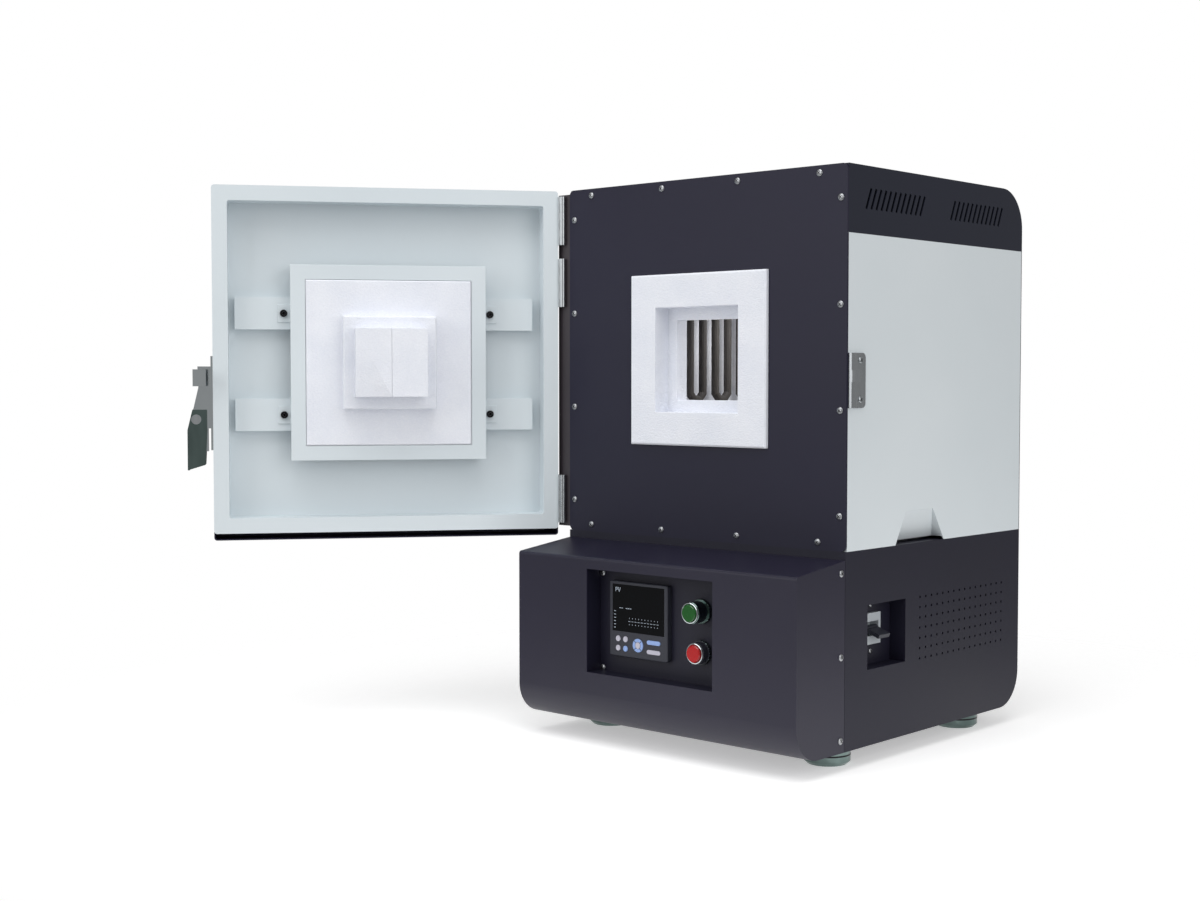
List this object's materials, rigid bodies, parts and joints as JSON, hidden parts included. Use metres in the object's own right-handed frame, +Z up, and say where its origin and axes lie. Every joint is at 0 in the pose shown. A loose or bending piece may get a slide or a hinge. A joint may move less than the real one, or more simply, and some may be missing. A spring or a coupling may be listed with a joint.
{
  "type": "muffle furnace",
  "caption": "Bench muffle furnace with a hinged plug door, a fibre chamber hung with heating rods, and a console with controller and push-buttons.",
  "frame": {"origin": "on the bench, midway between the four feet", "axes": "+Z up, -Y out of the front with the chamber mouth and the console, +X to the right seen from the front"},
  "size_m": [0.8016, 0.8522, 0.724],
  "materials": {
    "front_paint": "satin",
    "white_paint": "satin",
    "cover_paint": "satin",
    "base_paint": "satin",
    "post_paint": "matte",
    "stainless": "satin",
    "chrome": "polished",
    "fibre": "matte",
    "ceramic": "matte",
    "element": "matte",
    "black_plastic": "matte",
    "screen_glass": "gloss",
    "key_plastic": "satin",
    "green_lens": "gloss",
    "red_lens": "gloss",
    "grey_plastic": "satin",
    "aluminium": "satin",
    "core": "matte"
  },
  "bodies": {
    "housing": {"backing_insulation": "fibre", "base_deck": "base_paint", "base_pan": "base_paint", "base_side_left": "base_paint", "base_side_right": "base_paint", "breaker_body": "grey_plastic", "breaker_recess": "base_paint", "cable_gland": "black_plastic", "chamber_lining": "fibre", "console_shell": "base_paint", "control_recess": "base_paint", "controller_case": "black_plastic", "controller_screen": "screen_glass", "element_clamps": "ceramic", "feet": "chrome", "fibre_collar": "fibre", "frame_leaves": "stainless", "front_plate": "front_paint", "green_sleeve": "chrome", "hearth_plate": "ceramic", "heating_elements_left": "element", "heating_elements_right": "element", "hinge_pins": "stainless", "hinge_post": "post_paint", "keeper": "stainless", "power_controller": "aluminium", "rear_panel": "cover_paint", "red_sleeve": "black_plastic", "side_panel_left": "white_paint", "side_panel_right": "white_paint", "terminal_block": "grey_plastic", "thermocouple": "ceramic", "top_cover": "cover_paint", "transformer": "core"},
    "door": {"door_leaves": "stainless", "door_shell": "front_paint", "door_pan": "white_paint", "door_bars": "white_paint", "door_tray": "white_paint", "door_board": "fibre", "door_step": "fibre", "plug_bricks": "fibre", "latch_plate": "chrome", "latch_rivet": "chrome"},
    "latch_lever": {"latch_lever": "chrome"},
    "latch_hook": {"latch_hook": "chrome"},
    "green_cap": {"green_cap": "green_lens"},
    "red_cap": {"red_cap": "red_lens"},
    "breaker_toggle": {"breaker_toggle": "black_plastic"},
    "round_key_1": {"round_key_1": "key_plastic"},
    "round_key_2": {"round_key_2": "key_plastic"},
    "round_key_3": {"round_key_3": "key_plastic"},
    "round_key_4": {"round_key_4": "key_plastic"},
    "ring_key": {"ring_key": "key_plastic"},
    "centre_key": {"centre_key": "key_plastic"},
    "oblong_key_1": {"oblong_key_1": "key_plastic"},
    "oblong_key_2": {"oblong_key_2": "key_plastic"}
  },
  "joints": [
    {"name": "door_swing", "type": "hinge", "parent": "housing", "child": "door", "pos_m": [-0.2345, -0.1884, 0.494], "axis": [0, 0, 1], "range_deg": [0, 126.8]},
    {"name": "latch_turn", "type": "hinge", "parent": "door", "child": "latch_lever", "pos_m": [-0.54668, -0.56364, 0.4162], "axis": [-0.8, 0.6, 0], "range_deg": [-5, 17]},
    {"name": "hook_slide", "type": "slide", "parent": "door", "child": "latch_hook", "axis": [-0.6, -0.8, 0], "range_m": [-0.00305, 0.01025]},
    {"name": "green_press", "type": "slide", "parent": "housing", "child": "green_cap", "axis": [0, 1, 0], "range_m": [0, 0.004], "stiffness_N_per_m": 600},
    {"name": "red_press", "type": "slide", "parent": "housing", "child": "red_cap", "axis": [0, 1, 0], "range_m": [0, 0.004], "stiffness_N_per_m": 600},
    {"name": "breaker_flip", "type": "hinge", "parent": "housing", "child": "breaker_toggle", "pos_m": [0.201, -0.0935, 0.1613], "axis": [0, -1, 0], "range_deg": [0, 42]},
    {"name": "round_key_1_press", "type": "slide", "parent": "housing", "child": "round_key_1", "axis": [0, 1, 0], "range_m": [0, 0.0008], "stiffness_N_per_m": 500},
    {"name": "round_key_2_press", "type": "slide", "parent": "housing", "child": "round_key_2", "axis": [0, 1, 0], "range_m": [0, 0.0008], "stiffness_N_per_m": 500},
    {"name": "round_key_3_press", "type": "slide", "parent": "housing", "child": "round_key_3", "axis": [0, 1, 0], "range_m": [0, 0.0008], "stiffness_N_per_m": 500},
    {"name": "round_key_4_press", "type": "slide", "parent": "housing", "child": "round_key_4", "axis": [0, 1, 0], "range_m": [0, 0.0008], "stiffness_N_per_m": 500},
    {"name": "ring_key_press", "type": "slide", "parent": "housing", "child": "ring_key", "axis": [0, 1, 0], "range_m": [0, 0.0008], "stiffness_N_per_m": 500},
    {"name": "centre_key_press", "type": "slide", "parent": "housing", "child": "centre_key", "axis": [0, 1, 0], "range_m": [0, 0.0008], "stiffness_N_per_m": 500},
    {"name": "oblong_key_1_press", "type": "slide", "parent": "housing", "child": "oblong_key_1", "axis": [0, 1, 0], "range_m": [0, 0.0008], "stiffness_N_per_m": 500},
    {"name": "oblong_key_2_press", "type": "slide", "parent": "housing", "child": "oblong_key_2", "axis": [0, 1, 0], "range_m": [0, 0.0008], "stiffness_N_per_m": 500}
  ],
  "couplings": [
    {"joint": "hook_slide", "follows": "latch_turn", "m_per_rad": 0.0344}
  ]
}
